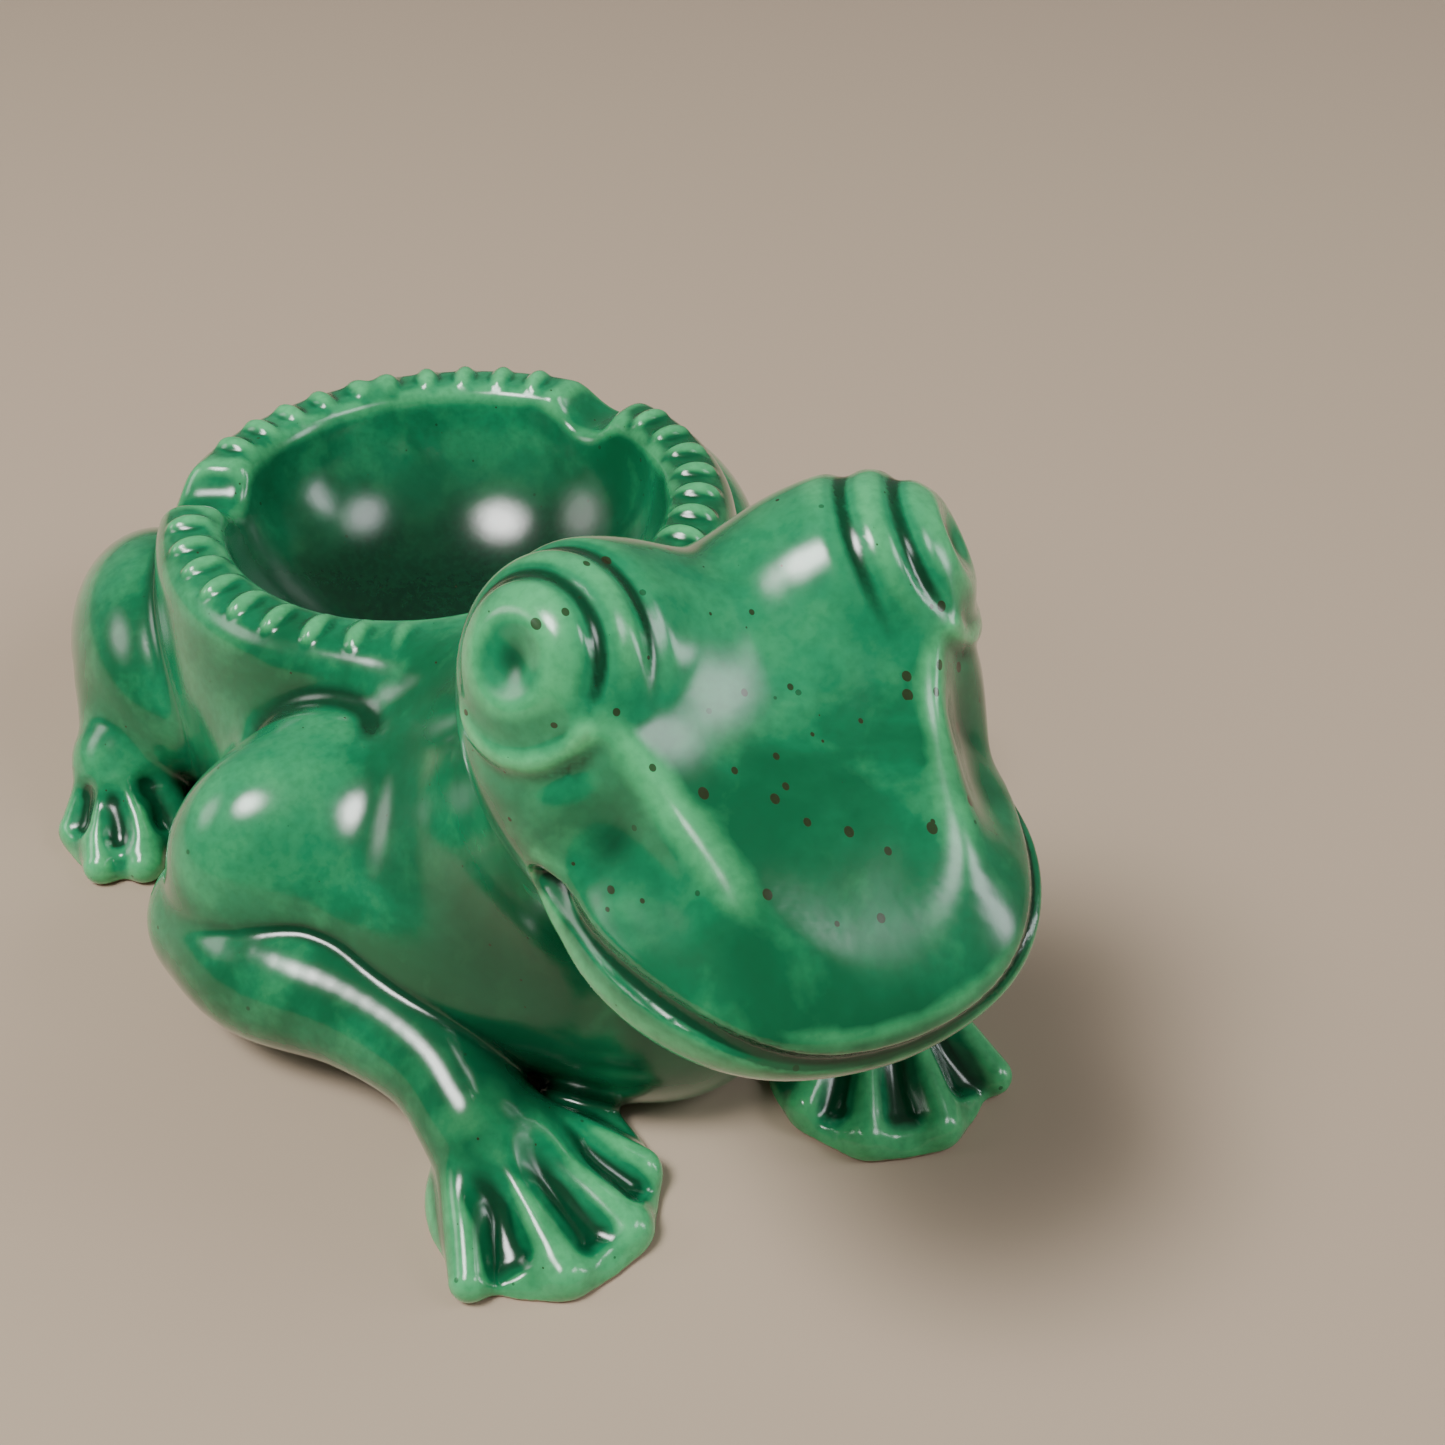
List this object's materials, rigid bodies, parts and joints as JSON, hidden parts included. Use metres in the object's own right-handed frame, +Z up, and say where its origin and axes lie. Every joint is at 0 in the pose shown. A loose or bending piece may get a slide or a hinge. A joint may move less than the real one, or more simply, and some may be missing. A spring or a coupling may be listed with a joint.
{
  "type": "frog ashtray",
  "caption": "Glazed ceramic frog that sits with its head raised and carries a round ash bowl with cigarette rests on its back.",
  "frame": {"origin": "on the axis of the ash well, in the plane the object stands on", "axes": "+Z up, +Y towards the back, so that the frog looks along -Y, and +X towards the frog's left side"},
  "size_m": [0.1346, 0.1837, 0.0948],
  "materials": {
    "green_glaze": "glossy translucent emerald glaze, paler on ridges and darker in hollows",
    "pale_glaze": "the same glaze, thin and pale on raised marks"
  },
  "bodies": {
    "root": {"body": "green_glaze", "ash_bowl": "green_glaze", "rim_marks": "pale_glaze", "head": "green_glaze", "front_left_leg": "green_glaze", "front_right_leg": "green_glaze", "hind_left_leg": "green_glaze", "hind_right_leg": "green_glaze"}
  },
  "joints": []
}
